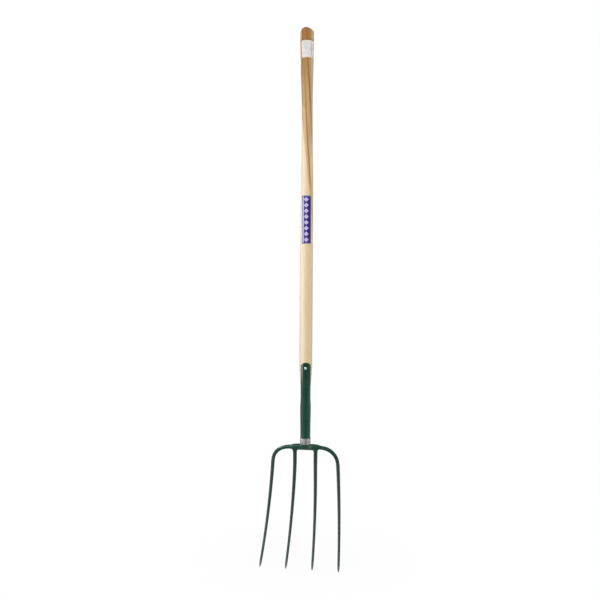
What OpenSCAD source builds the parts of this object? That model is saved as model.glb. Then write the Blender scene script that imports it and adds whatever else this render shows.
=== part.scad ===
// Four-tine manure fork: an ash shaft on a forged steel head, held by tang, ferrule, strap and rivet.
// +Z runs up the shaft to the butt and -Y is the side that the tines curve towards.
// The origin lies on the shaft's axis, in the middle of its parallel stretch.

/* [Shaft] */
// Length of the shaft from its foot to the top of the butt
shaft_length = 1220; // [900:10:1500]
// Height of the parallel stretch's middle above the foot
grip_height = 419; // [380:1:480]
// Diameter of the parallel stretch
grip_d = 38; // [34:0.5:42]
// Reach of the parallel stretch above its middle
grip_above = 135; // [100:5:160]
// Reach of the parallel stretch below its middle
grip_below = 175; // [120:5:200]
// Diameter of the shank, the stretch above that carries the purple label
shank_d = 36.3; // [33:0.1:40]
// Diameter of the slim waist below the butt
waist_d = 31.9; // [28:0.1:35]
// Diameter of the butt
butt_d = 41; // [37:0.5:46]
// Height of the butt's domed end
butt_dome = 20; // [8:1:26]
// How peaked the dome is, from 1 for a round one
butt_peak = 1.3; // [1:0.05:1.6]
// Length of the even stretch below the dome
butt_flat = 9; // [4:1:30]

/* [Nose] */
// Diameter where the nose's taper ends
neck_d = 26.8; // [25:0.2:30]
// Height of that point above the foot
neck_height = 132; // [110:1:160]
// Diameter of the swell below the neck
swell_d = 28.8; // [26:0.2:32]
// Depth of the swell's middle below the neck
swell_drop = 26; // [15:1:50]
// Diameter of the spigot inside the ferrule
spigot_d = 26.5; // [24:0.5:30]

/* [Ferrule] */
// Height of the ferrule ring
ferrule_h = 17; // [14:1:30]
// Wall of the ferrule ring
ferrule_wall = 2; // [1.2:0.1:3]
// Broken edge at both rims of the ferrule
ferrule_edge = 0.5; // [0.2:0.1:0.8]

/* [Strap] */
// Height of the strap's rounded end above the shaft's foot
strap_height = 238; // [200:1:270]
// Width of the strap across its rounded end
strap_w = 28.8; // [22:0.2:32]
// Height of the strap's rounded end
strap_arch = 10; // [6:0.5:14]
// Thickness of the strap
strap_thick = 2.2; // [1.6:0.1:3]
// Depth that the strap is let into the wood
strap_let_in = 1.2; // [0.4:0.1:1.5]
// How far the strap reaches past half-round at its sides
strap_wrap = 1.5; // [0:0.1:4]
// Height at which the strap's tail stops above the foot
strap_tail_gap = 2; // [0.5:0.5:6]
// How far the stop lip stands out above the ferrule
lip_out = 0.8; // [0.2:0.1:1.2]
// Height of the stop lip
lip_h = 2.5; // [1:0.5:5]
// Length of the rise from the strap to its lip
lip_rise = 6; // [3:0.5:10]
// Turn of the strap about the shaft, from the head's front
strap_turn = 9.4; // [-20:0.1:20]

/* [Rivet] */
// Diameter of the rivet's shank
rivet_d = 5; // [4:0.2:6]
// Depth of the rivet below the top of the strap
rivet_drop = 16.5; // [14:0.5:24]
// Diameter of the rivet's head
rivet_head_d = 6.8; // [6.2:0.2:9]
// Height of the rivet's head
rivet_head_h = 2; // [1:0.1:3]
// Diameter of the rivet's closed end
rivet_tail_d = 8; // [6.4:0.2:10]
// Height of the rivet's closed end
rivet_tail_h = 1.6; // [1:0.1:3]
// Diameter of the burr, the washer under the closed end
burr_d = 14; // [11:0.5:18]
// Thickness of the burr
burr_thick = 1.3; // [0.8:0.1:2]

/* [Crossbar] */
// Height of the crossbar
bar_h = 17; // [14:0.5:20]
// Depth of the crossbar from front to back
bar_depth = 14; // [13:0.5:20]
// Rounding of the crossbar's long edges
bar_round = 4; // [1:0.5:5]
// How far the crossbar runs on past its inner tines
bar_end_land = 0.4; // [0.2:0.1:4]
// Diameter of the shoulder under the shaft's foot
shoulder_d = 28.5; // [24:0.5:32]
// How far the shoulder stands above the crossbar
shoulder_rise = 1.4; // [1:0.2:5]
// Height over which the shoulder tapers into the crossbar
shoulder_taper = 11; // [6:0.5:13]
// Length of the tang inside the shaft
tang_length = 110; // [70:1:130]
// Diameter of the tang at its root
tang_d = 11; // [9:0.5:13]
// Diameter of the tang at its end
tang_tip_d = 7; // [4:0.5:8]
// How far the arms' centre lies below the crossbar's
arm_drop = 1; // [0:0.1:1.5]
// Length of the cone that draws the crossbar down to an arm
arm_cone = 6; // [3:0.5:9]
// Fillet between an arm and the inner tine below it
outer_fillet = 8; // [5:0.5:10]
// Fillet between the crossbar and the inner sides of the inner tines
inner_fillet = 3.5; // [2:0.5:6]
// Even stretch between a fillet and the start of a tine
joint_land = 1.2; // [1:0.1:5]

/* [Tines] */
// Distance between the two inner tines at the crossbar
inner_pitch = 58; // [50:1:70]
// Outward spread of an inner tine from root to tip
inner_splay = 8.4; // [0:0.2:20]
// Level stretch of an outer tine before its shoulder bend
arm_straight = 3.3; // [1:0.1:15]
// Radius of an outer tine's shoulder bend
shoulder_r = 49; // [30:1:70]
// Outward spread of an outer tine from shoulder to tip
outer_splay = 14.6; // [0:0.2:30]
// Diameter of a tine at its root
tine_d = 12; // [8:0.2:12.8]
// Diameter of a tine where its point starts
tine_tip_d = 7; // [4:0.2:8]
// Length of a tine's point
point_length = 13; // [6:1:20]
// Diameter of the blunted end
point_d = 1.6; // [1:0.1:3]
// Straight stretch of an inner tine below its root
tine_straight = 9; // [4:1:40]
// Radius of the forward curve of the tines
curve_r = 480; // [400:10:700]
// Angle that a tine turns through to its tip
curve_angle = 38; // [15:1:45]

/* [Labels] */
// Height of the paper label
paper_h = 50; // [30:1:80]
// Width of the paper label along the wood
paper_w = 44; // [20:1:70]
// Depth of the paper label's top edge below the top of the butt
paper_depth = 45; // [30:1:90]
// Turn of the paper label about the shaft
paper_turn = 24; // [-60:1:60]
// Height of the purple label
purple_h = 140; // [80:5:180]
// Width of the purple label along the wood
purple_w = 26.5; // [15:0.5:50]
// Height of the purple label's lower edge above the foot
purple_height = 584; // [580:1:640]
// Turn of the purple label about the shaft
purple_turn = 5.4; // [-60:0.1:60]
// Thickness of a label
label_thick = 0.25; // [0.1:0.05:0.5]

/* [Fits] */
// Clearance between the wood and the pieces fitted to it
fit_gap = 0.1; // [0.05:0.01:0.2]

/* [Hidden] */
$fn = 64;
ash = "#e6cfa4";
green_paint = "#1f4d3c";
zinc = "#b9bbbd";
rivet_steel = "#dfe3e4";
label_paper = "#f1efee";
label_purple = "#40358c";

// Where the shank and the waist start and end, as shares of the run from the parallel stretch to the butt
shank_shares = [0.086, 0.26];
waist_shares = [0.494, 0.612];
// Overrun of every cut past the surface that it opens
cut_over = 3;
// Steps of each eased stretch of the shaft's outline, of a dome and of a fillet
profile_steps = 10;
arc_steps = 8;
// Sides of a tine, spacing of its rings and rings along its point
tine_sides = 16;
tine_step = 10;
point_steps = 4;
// Depth of the root fillets as a share of the tine's diameter
fillet_depth_share = 0.8;

// Heights along the shaft
foot_z = -grip_height;
butt_z = shaft_length - grip_height;
dome_z = butt_z - butt_dome;
upper_run = dome_z - butt_flat - grip_above;
ferrule_top_z = foot_z + ferrule_h;
neck_z = foot_z + neck_height;
swell_z = neck_z - swell_drop;
strap_top_z = foot_z + strap_height;
strap_tail_z = foot_z + strap_tail_gap;
rivet_z = strap_top_z - rivet_drop;

// The shaft's outline as heights and radii, eased from each to the next
stations = [
    [foot_z, spigot_d / 2],
    [ferrule_top_z, spigot_d / 2],
    [swell_z, swell_d / 2],
    [neck_z, neck_d / 2],
    [-grip_below, grip_d / 2],
    [grip_above, grip_d / 2],
    for (share = shank_shares) [grip_above + upper_run * share, shank_d / 2],
    for (share = waist_shares) [grip_above + upper_run * share, waist_d / 2],
    [dome_z - butt_flat, butt_d / 2],
    [dome_z, butt_d / 2]
];
stretches = [for (i = [1 : len(stations) - 1]) [stations[i - 1], stations[i]]];
outline_z = [
    for (stretch = stretches)
        let (steps = stretch[0][1] == stretch[1][1] ? 1 : profile_steps)
            for (k = [0 : steps - 1])
                stretch[0][0] + (stretch[1][0] - stretch[0][0]) * k / steps
];

// Strap radii: standing proud of the wood above its lip, tucked under the ferrule below it
strap_proud = strap_thick - strap_let_in;
strap_knee_z = ferrule_top_z + lip_h + lip_rise;
lip_r = spigot_d / 2 + strap_proud + lip_out;
tail_r = spigot_d / 2 - strap_thick;

// Seats of the rivet's head and of the burr: as deep as a full flat circle needs
head_seat = sqrt(pow(shaft_r(rivet_z - rivet_head_d / 2) + strap_proud, 2) - pow(rivet_head_d / 2, 2));
burr_seat = sqrt(pow(shaft_r(rivet_z - burr_d / 2), 2) - pow(burr_d / 2, 2));
rivet_back = -burr_seat - burr_thick;

// The head, from the crossbar outwards
bar_top_z = foot_z - shoulder_rise;
bar_foot_z = bar_top_z - bar_h;
arm_z = bar_top_z - bar_h / 2 - arm_drop;
inner_x = inner_pitch / 2;
bar_half = inner_x + tine_d / 2 + bar_end_land;
root_reach = tine_d / 2 + outer_fillet + joint_land;
arm_joint_x = inner_x + root_reach;
inner_joint_z = arm_z - root_reach;
bend_x = arm_joint_x + arm_straight;
bend_z = arm_z - shoulder_r;

// Tine tips
curve_z = inner_joint_z - tine_straight;
tip_z = curve_z - curve_r * sin(curve_angle);
outer_tip_x = bend_x + shoulder_r + outer_splay;
tip_from_bend = [outer_tip_x - bend_x, tip_z - bend_z];
splay_angle = atan2(tip_from_bend[1], tip_from_bend[0]) + acos(shoulder_r / norm(tip_from_bend));
bend_run = shoulder_r * (90 - splay_angle) * PI / 180;
fall_run = sqrt(pow(norm(tip_from_bend), 2) - pow(shoulder_r, 2));
inner_run = inner_joint_z - tip_z;
outer_run = arm_straight + bend_run + fall_run;

function ease(t) = (1 - cos(180 * t)) / 2;
function reverse(list) = [for (i = [len(list) - 1 : -1 : 0]) list[i]];
function unit(v) = v / norm(v);

// Radius of the shaft at a height
function stretch_at(z, i = 0) = i == len(stretches) - 1 || z < stretches[i][1][0] ? i : stretch_at(z, i + 1);
function shaft_r(z) =
    let (stretch = stretches[stretch_at(z)], low = stretch[0], high = stretch[1])
        low[1] + (high[1] - low[1]) * ease((z - low[0]) / (high[0] - low[0]));

// The shaft's outline between two heights, moved outwards
function wall(from_z, to_z, out) = [
    for (z = concat([from_z], [for (z = outline_z) if (z > from_z && z < to_z) z], [to_z]))
        [shaft_r(z) + out, z]
];

// Half of a domed end of the given radius and height, from its rim to its crown
function dome(r, h, base, peak = 1) = [
    for (k = [0 : arc_steps])
        let (a = 90 * k / arc_steps)
            [r * pow(cos(a), peak), base + h * pow(sin(a), peak)]
];

// Inner face of the strap, moved inwards by a clearance
function strap_inner(gap, tail_z) = concat(
    [[tail_r - gap, tail_z], [tail_r - gap, ferrule_top_z]],
    wall(strap_knee_z, strap_top_z + gap, -strap_let_in - gap)
);

// Front outline of the strap, widened by a clearance
function strap_side(gap) =
    let (half = strap_w / 2 + gap, arch_z = strap_top_z - strap_arch)
        concat(
            [[lip_r + cut_over, foot_z - cut_over], [lip_r + cut_over, swell_z], [half, neck_z]],
            dome(half, strap_arch + gap, arch_z)
        );

module strap_front(gap) {
    right = strap_side(gap);
    left = [for (p = reverse(right)) [-p[0], p[1]]];
    rotate([90, 0, 0])
        translate([0, 0, -strap_wrap - gap])
            linear_extrude(height = grip_d + strap_wrap)
                polygon(concat(right, left));
}

module at_strap() {
    rotate([0, 0, strap_turn])
        children();
}

module at_rivet() {
    at_strap()
        translate([0, 0, rivet_z])
            rotate([90, 0, 0])
                children();
}

// Room that the strap takes in the nose
module strap_seat() {
    inner = strap_inner(fit_gap, foot_z - cut_over);
    far_r = grip_d / 2 + cut_over;
    at_strap()
        intersection() {
            rotate_extrude()
                polygon(concat(inner, [[far_r, strap_top_z + fit_gap], [far_r, foot_z - cut_over]]));
            strap_front(fit_gap);
        }
}

module tang(gap, over) {
    taper = (tang_tip_d - tang_d) / 2 / tang_length;
    translate([0, 0, foot_z - over])
        cylinder(
            h = tang_length + over + gap,
            r1 = tang_d / 2 - taper * over + gap,
            r2 = tang_tip_d / 2 + taper * gap + gap
        );
}

module shaft() {
    color(ash)
        difference() {
            rotate_extrude()
                polygon(concat(
                    [[0, foot_z]],
                    wall(foot_z, dome_z, 0),
                    dome(butt_d / 2, butt_dome, dome_z, butt_peak)
                ));
            strap_seat();
            tang(fit_gap, cut_over);
            at_rivet() {
                translate([0, 0, -grip_d])
                    cylinder(h = grip_d * 2, r = rivet_d / 2 + fit_gap);
                translate([0, 0, -grip_d])
                    cylinder(h = grip_d - burr_seat, r = burr_d / 2 + fit_gap);
            }
        }
}

module ferrule() {
    inner = spigot_d / 2 + fit_gap;
    outer = inner + ferrule_wall;
    color(zinc)
        rotate_extrude()
            polygon([
                [inner, foot_z],
                [outer - ferrule_edge, foot_z],
                [outer, foot_z + ferrule_edge],
                [outer, ferrule_top_z - ferrule_edge],
                [outer - ferrule_edge, ferrule_top_z],
                [inner, ferrule_top_z]
            ]);
}

module strap() {
    outer = concat(
        reverse(wall(strap_knee_z, strap_top_z, strap_proud)),
        [
            [lip_r, ferrule_top_z + lip_h],
            [lip_r, ferrule_top_z],
            [spigot_d / 2, ferrule_top_z],
            [spigot_d / 2, strap_tail_z]
        ]
    );
    color(green_paint)
        difference() {
            at_strap()
                intersection() {
                    rotate_extrude()
                        polygon(concat(strap_inner(0, strap_tail_z), outer));
                    strap_front(0);
                }
            at_rivet() {
                cylinder(h = grip_d, r = rivet_d / 2 + fit_gap);
                translate([0, 0, head_seat])
                    cylinder(h = grip_d, r = rivet_head_d / 2 + fit_gap);
            }
        }
}

module strap_rivet() {
    closed_end = [for (p = reverse(dome(rivet_tail_d / 2, rivet_tail_h, 0))) [p[0], rivet_back - p[1]]];
    shank = [[rivet_d / 2, rivet_back], [rivet_d / 2, head_seat]];
    color(rivet_steel)
        at_rivet()
            rotate_extrude()
                polygon(concat(closed_end, shank, dome(rivet_head_d / 2, rivet_head_h, head_seat)));
}

module rivet_burr() {
    color(zinc)
        at_rivet()
            translate([0, 0, rivet_back])
                difference() {
                    cylinder(h = burr_thick, r = burr_d / 2);
                    translate([0, 0, -cut_over])
                        cylinder(h = burr_thick + cut_over * 2, r = rivet_d / 2 + fit_gap);
                }
}

// Billet section with rounded edges
module bar_section() {
    flat_x = bar_depth / 2 - bar_round;
    flat_z = bar_h / 2 - bar_round;
    corners = [[1, 1, 0], [-1, 1, 90], [-1, -1, 180], [1, -1, 270]];
    polygon([
        for (corner = corners)
            for (k = [0 : arc_steps])
                let (a = corner[2] + 90 * k / arc_steps)
                    [corner[0] * flat_x + bar_round * cos(a), corner[1] * flat_z + bar_round * sin(a)]
    ]);
}

// Web that rounds the corner between an underside and the side of an inner tine
module root_fillet(r) {
    curve = [for (k = [0 : arc_steps]) let (a = 90 * k / arc_steps) [r - r * sin(a), r * cos(a) - r]];
    rotate([90, 0, 0])
        linear_extrude(height = tine_d * fillet_depth_share, center = true)
            polygon(concat([[-tine_d / 2, -r], [-tine_d / 2, tine_d / 2], [r, tine_d / 2]], curve));
}

// Right half of the head's joints: the stub of an inner tine with its fillets, and the stub of an arm
module head_side() {
    translate([inner_x, 0, inner_joint_z])
        cylinder(h = arm_z - inner_joint_z, r = tine_d / 2);
    translate([inner_x + tine_d / 2, 0, arm_z - tine_d / 2])
        root_fillet(outer_fillet);
    translate([inner_x - tine_d / 2, 0, bar_foot_z])
        mirror([1, 0, 0])
            root_fillet(inner_fillet);
    translate([inner_x, 0, arm_z])
        rotate([0, 90, 0])
            cylinder(h = root_reach, r = tine_d / 2);
    translate([bar_half, 0, arm_z])
        rotate([0, 90, 0])
            cylinder(h = arm_cone, r1 = bar_depth / 2 - bar_end_land, r2 = tine_d / 2);
}

module crossbar() {
    color(green_paint)
        union() {
            translate([0, 0, bar_top_z - bar_h / 2])
                rotate([90, 0, 90])
                    linear_extrude(height = bar_half * 2, center = true)
                        bar_section();
            translate([0, 0, foot_z - shoulder_rise - shoulder_taper])
                cylinder(h = shoulder_rise + shoulder_taper, r1 = bar_depth / 2, r2 = shoulder_d / 2);
            tang(0, shoulder_rise);
            head_side();
            mirror([1, 0, 0])
                head_side();
        }
}

// How far the tines have come forward at a height
function forward(z) =
    let (turn = asin(max(0, curve_z - z) / curve_r))
        curve_r * (1 - cos(turn));

// Middle of a tine at a distance from its root, measured in the head's front view
function inner_point(s) =
    let (z = inner_joint_z - s)
        [inner_x + inner_splay * s / inner_run, -forward(z), z];
function outer_flat(s) =
    s < arm_straight ? [arm_joint_x + s, arm_z]
    : s < arm_straight + bend_run
        ? let (a = 90 - (90 - splay_angle) * (s - arm_straight) / bend_run)
            [bend_x + shoulder_r * cos(a), bend_z + shoulder_r * sin(a)]
        : let (fall = s - arm_straight - bend_run)
            [
                bend_x + shoulder_r * cos(splay_angle) + fall * sin(splay_angle),
                bend_z + shoulder_r * sin(splay_angle) - fall * cos(splay_angle)
            ];
function outer_point(s) =
    let (p = outer_flat(s))
        [p[0], -forward(p[1]), p[1]];

// Ring positions along a tine and its radius there
function tine_stops(run) =
    let (body = run - point_length, steps = ceil(body / tine_step))
        concat(
            [for (k = [0 : steps]) body * k / steps],
            [for (k = [1 : point_steps]) body + point_length * k / point_steps]
        );
function tine_r(s, run) =
    let (body = run - point_length, past = max(0, s - body) / point_length)
        s < body
            ? (tine_d + (tine_tip_d - tine_d) * s / body) / 2
            : (tine_tip_d + (point_d - tine_tip_d) * pow(past, 2)) / 2;

// Round bar swept along its middle points, square to its starting direction
module swept_tine(middle, radii, start) {
    last = len(middle) - 1;
    along = [
        for (i = [0 : last])
            i == 0 ? start : unit(middle[min(i + 1, last)] - middle[i - 1])
    ];
    points = [
        for (i = [0 : last])
            let (across = unit([-along[i][2], 0, along[i][0]]), depth = cross(across, along[i]))
                for (k = [0 : tine_sides - 1])
                    let (a = 360 * k / tine_sides)
                        middle[i] + radii[i] * (across * cos(a) + depth * sin(a))
    ];
    sides = [
        for (i = [0 : last - 1])
            for (k = [0 : tine_sides - 1])
                let (
                    here = i * tine_sides,
                    below = here + tine_sides,
                    next = (k + 1) % tine_sides
                )
                    each [[here + k, here + next, below + next], [here + k, below + next, below + k]]
    ];
    root_cap = [for (k = [1 : tine_sides - 2]) [0, k + 1, k]];
    end = last * tine_sides;
    tip_cap = [for (k = [1 : tine_sides - 2]) [end, end + k, end + k + 1]];
    polyhedron(points = points, faces = concat(root_cap, sides, tip_cap));
}

module inner_tine() {
    stops = tine_stops(inner_run);
    swept_tine([for (s = stops) inner_point(s)], [for (s = stops) tine_r(s, inner_run)], [0, 0, -1]);
}

module outer_tine() {
    stops = tine_stops(outer_run);
    swept_tine([for (s = stops) outer_point(s)], [for (s = stops) tine_r(s, outer_run)], [1, 0, 0]);
}

module left_outer_tine() {
    color(green_paint)
        mirror([1, 0, 0])
            outer_tine();
}

module left_inner_tine() {
    color(green_paint)
        mirror([1, 0, 0])
            inner_tine();
}

module right_inner_tine() {
    color(green_paint)
        inner_tine();
}

module right_outer_tine() {
    color(green_paint)
        outer_tine();
}

// Thin sheet wrapped on the shaft between two heights
module wrapped_label(from_z, to_z, width, turn) {
    middle_r = shaft_r((from_z + to_z) / 2);
    angle = width / middle_r * 180 / PI;
    rotate([0, 0, turn - 90 - angle / 2])
        rotate_extrude(angle = angle)
            polygon(concat(
                wall(from_z, to_z, fit_gap),
                reverse(wall(from_z, to_z, fit_gap + label_thick))
            ));
}

module paper_label() {
    top_z = butt_z - paper_depth;
    color(label_paper)
        wrapped_label(top_z - paper_h, top_z, paper_w, paper_turn);
}

module purple_label() {
    low_z = foot_z + purple_height;
    color(label_purple)
        wrapped_label(low_z, low_z + purple_h, purple_w, purple_turn);
}

shaft();
ferrule();
strap();
strap_rivet();
rivet_burr();
crossbar();
left_outer_tine();
left_inner_tine();
right_inner_tine();
right_outer_tine();
paper_label();
purple_label();
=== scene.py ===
import math

import bmesh
import bpy
from mathutils import Matrix, Vector


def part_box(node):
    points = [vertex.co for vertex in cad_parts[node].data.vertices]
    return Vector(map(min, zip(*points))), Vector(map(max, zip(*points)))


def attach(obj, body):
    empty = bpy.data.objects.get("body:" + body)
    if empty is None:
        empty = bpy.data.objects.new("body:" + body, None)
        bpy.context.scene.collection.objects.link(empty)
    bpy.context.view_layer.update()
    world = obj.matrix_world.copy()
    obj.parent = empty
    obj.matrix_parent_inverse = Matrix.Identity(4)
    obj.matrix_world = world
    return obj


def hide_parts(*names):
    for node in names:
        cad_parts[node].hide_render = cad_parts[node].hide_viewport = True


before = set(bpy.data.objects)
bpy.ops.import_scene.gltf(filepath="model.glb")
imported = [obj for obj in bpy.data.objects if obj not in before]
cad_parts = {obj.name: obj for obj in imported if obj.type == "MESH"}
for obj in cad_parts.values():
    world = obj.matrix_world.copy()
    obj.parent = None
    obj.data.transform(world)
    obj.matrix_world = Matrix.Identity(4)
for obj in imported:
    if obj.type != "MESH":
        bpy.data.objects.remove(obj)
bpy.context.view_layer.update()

# Shaft
# One straight-grained ash stick, turned to a domed butt, a slim waist and a tapered nose, sanded and waxed.
# A seat is pared out of its front for the strap, its foot is bored for the tang and its back is spotfaced
# for the burr. It has bowed a little in seasoning.
MM = 0.001
shaft_low, shaft_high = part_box("shaft")
foot_z = shaft_low.z
butt_z = shaft_high.z
dome_h = 16 * MM
dome_z = butt_z - dome_h
dome_peak = 1.3
dome_lean = 4.4 * MM
dome_lean_power = 1.6
dome_steps = 14
bow = 1.25 * MM
bow_low_z = 50 * MM
bow_cross_z = 530 * MM
tang_length = 110 * MM
tang_r = 5.5 * MM
tang_end_r = 3.5 * MM
bore_gap = 0.1 * MM
bore_depth = tang_length + bore_gap
bore_r = tang_r + bore_gap
bore_end_r = tang_end_r + bore_gap
skin_r = bore_r + 1 * MM
lathe_steps = 96
lathe_row = 2.2 * MM
lathe_weld = 0.001 * MM

# Heights above the foot and radii of the turned outline, in millimetres, eased from each to the next
turned_outline = [
    (0, 13.25), (17, 13.25), (106, 14.4), (132, 13.4), (244, 19), (554, 19),
    (609, 18.15), (740, 18.15), (885, 15.95), (972, 15.95), (1191, 20.2), (1200, 20.2),
]
outline = [(foot_z + height * MM, radius * MM) for height, radius in turned_outline]
nose_r = outline[0][1]
swell_z = outline[2][0]
neck_z = outline[3][0]
butt_r = outline[-1][1]

# The strap's seat: how far it is turned about the shaft, and its outline on the front of the nose
seat_turn = math.radians(9.4)
seat_top_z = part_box("strap")[1].z
seat_half_w = 14.4 * MM
seat_widening = 3.75 * MM
seat_arch = 10 * MM
seat_wrap = math.radians(6)
seat_margin = math.radians(4.5)
seat_depth = 1.3 * MM
tail_depth = 2.3 * MM
strap_proud = 1.4 * MM
ferrule_drop = 0.8 * MM
ferrule_top_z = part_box("ferrule")[1].z - ferrule_drop


def shaft_r(z):
    """Radius of the wood at a height."""
    for (low_z, low_r), (high_z, high_r) in zip(outline, outline[1:]):
        if z <= high_z:
            share = max(0.0, (z - low_z) / (high_z - low_z))
            return low_r + (high_r - low_r) * (1 - math.cos(math.pi * share)) / 2
    return butt_r


def bowed(z):
    """How far the stick has bowed to the right at a height."""
    rise = max(0.0, (z - bow_low_z) / (bow_cross_z - bow_low_z))
    return bow * rise * math.sin(math.pi * rise)


def seat_reach(z):
    """Angle that the strap covers on either side of its middle at a height."""
    past_arch = max(0.0, (z - seat_top_z + seat_arch) / seat_arch)
    below_neck = min(1.0, max(0.0, (neck_z - z) / (neck_z - swell_z)))
    half_w = seat_half_w * math.sqrt(max(0.0, 1 - past_arch ** 2)) + seat_widening * below_neck
    return math.asin(min(1.0, half_w / (shaft_r(z) + strap_proud))) + seat_wrap * below_neck


def turn_on_lathe(profile, steps):
    """Spins a profile of (radius, height) points round the Z axis into a closed skin."""
    bm = bmesh.new()
    points = [bm.verts.new((radius, 0, height)) for radius, height in profile]
    edges = [bm.edges.new(pair) for pair in zip(points, points[1:])]
    bmesh.ops.spin(
        bm, geom=points + edges, cent=(0, 0, 0), axis=(0, 0, 1), angle=math.tau, steps=steps, use_merge=True
    )
    bmesh.ops.remove_doubles(bm, verts=bm.verts, dist=lathe_weld)
    bmesh.ops.recalc_face_normals(bm, faces=bm.faces)
    return bm


def add_object(name, bm, material=None, sharp_angle=math.radians(40)):
    """Makes an object of a finished bmesh, shaded smooth but for its sharp edges."""
    mesh = bpy.data.meshes.new(name)
    bm.to_mesh(mesh)
    bm.free()
    mesh.shade_smooth()
    mesh.set_sharp_from_angle(angle=sharp_angle)
    if material:
        mesh.materials.append(material)
    piece = bpy.data.objects.new(name, mesh)
    bpy.context.scene.collection.objects.link(piece)
    return piece


def add_node(tree, kind, inputs, **settings):
    """Adds a shader node and fills its inputs with numbers or with other nodes' outputs."""
    node = tree.nodes.new("ShaderNode" + kind)
    for setting, value in settings.items():
        setattr(node, setting, value)
    for socket, value in inputs.items():
        if isinstance(value, bpy.types.NodeSocket):
            tree.links.new(value, node.inputs[socket])
        else:
            node.inputs[socket].default_value = value
    return node


def calc(tree, operation, first, second=0.0, third=0.0):
    """Output of a Math node."""
    return add_node(tree, "Math", {0: first, 1: second, 2: third}, operation=operation).outputs[0]


def off(tree, value, middle):
    """How far a value is from a middle, to either side."""
    return calc(tree, "ABSOLUTE", calc(tree, "SUBTRACT", value, middle))


def measure(tree, place, direction):
    """How far a place lies along a direction from the shaft's axis."""
    inputs = {0: place, 1: direction}
    return add_node(tree, "VectorMath", inputs, operation="DOT_PRODUCT").outputs["Value"]


def noise(tree, place, stretch, detail=2.0, roughness=0.5):
    """Noise from 0 to 1 with its own number of features a metre along X, Y and Z."""
    spread = add_node(tree, "Mapping", {"Vector": place, "Scale": stretch})
    inputs = {"Vector": spread.outputs[0], "Scale": 1.0, "Detail": detail, "Roughness": roughness}
    return add_node(tree, "TexNoise", inputs).outputs[0]


def fade(tree, value, start, end, low=0.0, high=1.0):
    """Smooth step of a value from low at start to high at end."""
    inputs = {"Value": value, "From Min": start, "From Max": end, "To Min": low, "To Max": high}
    return add_node(tree, "MapRange", inputs, interpolation_type="SMOOTHSTEP").outputs[0]


def blend(tree, share, first, second):
    """Colour that goes from the first to the second as share goes from 0 to 1."""
    return add_node(tree, "Mix", {0: share, 6: first, 7: second}, data_type="RGBA").outputs[2]


def tone(red, green, blue):
    """Linear colour from the 0 to 255 levels of a colour chip."""
    levels = [level / 255 for level in (red, green, blue)]
    linear = [level / 12.92 if level <= 0.04045 else ((level + 0.055) / 1.055) ** 2.4 for level in levels]
    return (*linear, 1.0)


def new_finish(name):
    """A material, its node tree, its Principled shader and the Object coordinates."""
    material = bpy.data.materials.new(name)
    material.use_nodes = True
    tree = material.node_tree
    place = add_node(tree, "TexCoord", {}).outputs["Object"]
    return material, tree, tree.nodes["Principled BSDF"], place


def finish_with(tree, shader, colour, roughness, height, depth):
    """Links a colour, a roughness and a bump of the given depth to a shader."""
    bump = add_node(tree, "Bump", {"Strength": 1.0, "Distance": depth, "Height": height})
    tree.links.new(colour, shader.inputs["Base Color"])
    tree.links.new(roughness, shader.inputs["Roughness"])
    tree.links.new(bump.outputs[0], shader.inputs["Normal"])


sapwood = tone(246, 229, 200)
sapwood_tan = tone(225, 201, 162)
sapwood_line = tone(216, 189, 147)
mellow_wood = tone(214, 181, 139)
heartwood = tone(200, 168, 120)
butt_heartwood = tone(161, 114, 61)
faded_wood = tone(204, 182, 146)
growth_line = tone(142, 101, 54)
pore_brown = tone(120, 84, 46)
pore_depth = 0.12 * MM

# The rings face this way in plan, and the lathe cut them at a slant, so every border leans across the shaft
ring_facing = math.radians(9.2)
ring_w = 2.7 * MM
ring_lean = 0.06
ring_lean_z = 600 * MM
grain_wander = 6 * MM

# Each border between two woods: its place across the shaft at a height, that height, its lean below and above
sap_border = (-10.5 * MM, 503 * MM, 0.107, 0.107)
mellow_border = (-4.3 * MM, 556 * MM, 0.068, 0.45)
heart_border = (-4.3 * MM, 556 * MM, 0.068, 0.022)
butt_border = (1.4 * MM, 708 * MM, 0.06, 0.06)

# Where one colour starts and ends to give way to another: past a border, across the shaft, then up it
sap_blur = (-4.5 * MM, 1.5 * MM)
mellow_blur = (-7 * MM, 0.5 * MM)
low_strip_blur = (1 * MM, 4.5 * MM)
tan_across = (-11 * MM, 1 * MM)
faded_across = (1 * MM, 9 * MM)
left_rim_highlight_across = (-18.6 * MM, -17.4 * MM)
right_rim_light_across = (8.5 * MM, 14.5 * MM)
deepen_up = (520 * MM, 790 * MM)
faded_up = (500 * MM, 660 * MM)
faded_butt_up = (735 * MM, 765 * MM)
low_strip_up = (500 * MM, 380 * MM)
strips_up = (650 * MM, 700 * MM)

# Lines in the wood: half their width, their place across the shaft, and where the longest of them fades
line_core = 0.3 * MM
heart_line_half = 3 * MM
butt_line_half = 3.6 * MM
sap_line_half = 1.6 * MM
left_line_half = 2.6 * MM
left_line_u = -15.5 * MM
right_strip_half = 2.4 * MM
right_strip_u = 13 * MM
heart_line_up = (290 * MM, 420 * MM)
heart_line_pale_up = (540 * MM, 600 * MM)
heart_line_end_up = (660 * MM, 720 * MM)

# Darker wood: a band just over the paper label, and the top of the dome
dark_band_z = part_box("paper_label")[1].z + 2 * MM
dark_band_half = 7 * MM
dark_dome_up = (butt_z - 7 * MM, butt_z - 1 * MM)


def past_border(tree, grain, height, start, start_z, lean_below, lean_above):
    """How far past a border the wood is. The border leans one way below a height and another way above it."""
    below = calc(tree, "MAXIMUM", calc(tree, "SUBTRACT", start_z, height), 0.0)
    above = calc(tree, "MAXIMUM", calc(tree, "SUBTRACT", height, start_z), 0.0)
    border = calc(tree, "MULTIPLY_ADD", below, lean_below, start)
    border = calc(tree, "MULTIPLY_ADD", above, -lean_above, border)
    return calc(tree, "SUBTRACT", grain, border)


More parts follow.
